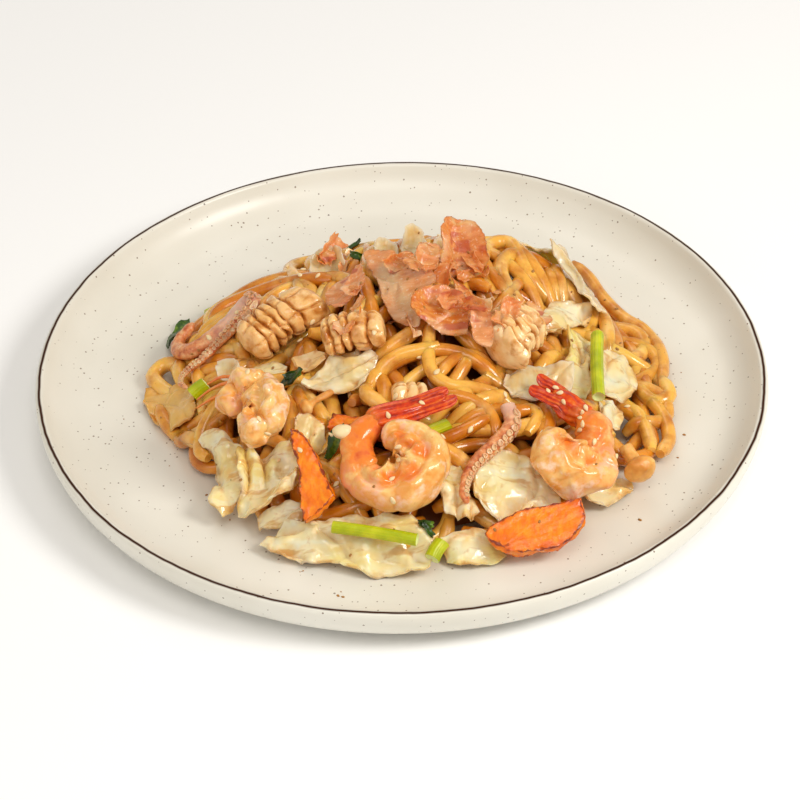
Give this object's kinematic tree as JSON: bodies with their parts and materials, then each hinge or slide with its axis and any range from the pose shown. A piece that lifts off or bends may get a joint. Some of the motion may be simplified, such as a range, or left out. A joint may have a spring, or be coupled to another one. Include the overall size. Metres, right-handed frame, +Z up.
{
  "type": "yaki udon",
  "caption": "Low heap of thick fried wheat noodles with prawns, scored squid, cabbage, carrot, stems and dried fish flakes on a flat round plate with an upright rim.",
  "frame": {"origin": "centre of the plate's foot ring, on the surface that it stands on", "axes": "+Z up, +X to the right and +Y away from the diner as the dish is served"},
  "size_m": [0.28, 0.28, 0.0659],
  "materials": {
    "plate_glaze": "satin off-white glaze with fine brown specks and a brown rim line",
    "udon_noodle": "glossy, sauced wheat noodle",
    "cabbage": "wet, wavy leaf",
    "onion": "wet, half clear",
    "dark_greens": "wet dark leaf",
    "green_stem": "wet stem",
    "carrot": "wet, charred edges",
    "mushroom": "satin",
    "prawn": "wet, ringed flesh",
    "squid": "wet, scored flesh",
    "squid_arm": "wet, with suckers",
    "fish_flake": "dry, thin shaving"
  },
  "bodies": {
    "root": {"plate": "plate_glaze", "noodles": "udon_noodle", "cabbage_front": "cabbage", "cabbage_front_right": "cabbage", "cabbage_left_lower": "cabbage", "cabbage_far_left": "cabbage", "cabbage_left": "cabbage", "cabbage_left_fold": "cabbage", "cabbage_middle": "cabbage", "cabbage_fold": "cabbage", "cabbage_right": "cabbage", "cabbage_under_right": "cabbage", "cabbage_right_edge": "cabbage", "cabbage_right_white": "cabbage", "cabbage_wavy": "cabbage", "cabbage_clear": "cabbage", "cabbage_back": "cabbage", "cabbage_edge": "cabbage", "cabbage_strip": "cabbage", "cabbage_far_edge": "cabbage", "onion_square": "onion", "onion_clear": "onion", "onion_ring": "onion", "onion_back": "onion", "onion_top": "onion", "onion_band": "onion", "dark_leaf_front": "dark_greens", "dark_leaf_left": "dark_greens", "green_leaf_edge": "dark_greens", "stem_front": "green_stem", "stem_right": "green_stem", "stem_middle": "green_stem", "stem_front_stub": "green_stem", "stem_left_stub": "green_stem", "stem_back_stub": "green_stem", "carrot_left": "carrot", "carrot_right": "carrot", "carrot_middle": "carrot", "mushroom_right": "mushroom", "mushroom_left": "mushroom", "prawn_centre": "prawn", "prawn_left": "prawn", "prawn_right": "prawn", "squid_left": "squid", "squid_middle": "squid", "squid_right": "squid", "squid_small": "squid", "squid_flap": "squid", "tentacle_left": "squid_arm", "tentacle_right": "squid_arm", "flake_large": "fish_flake", "flake_front": "fish_flake", "flake_right": "fish_flake", "flake_small_right": "fish_flake", "flake_top": "fish_flake", "flake_middle": "fish_flake", "flake_left": "fish_flake", "flake_left_front": "fish_flake", "flake_outer": "fish_flake", "flake_far": "fish_flake"}
  },
  "joints": []
}
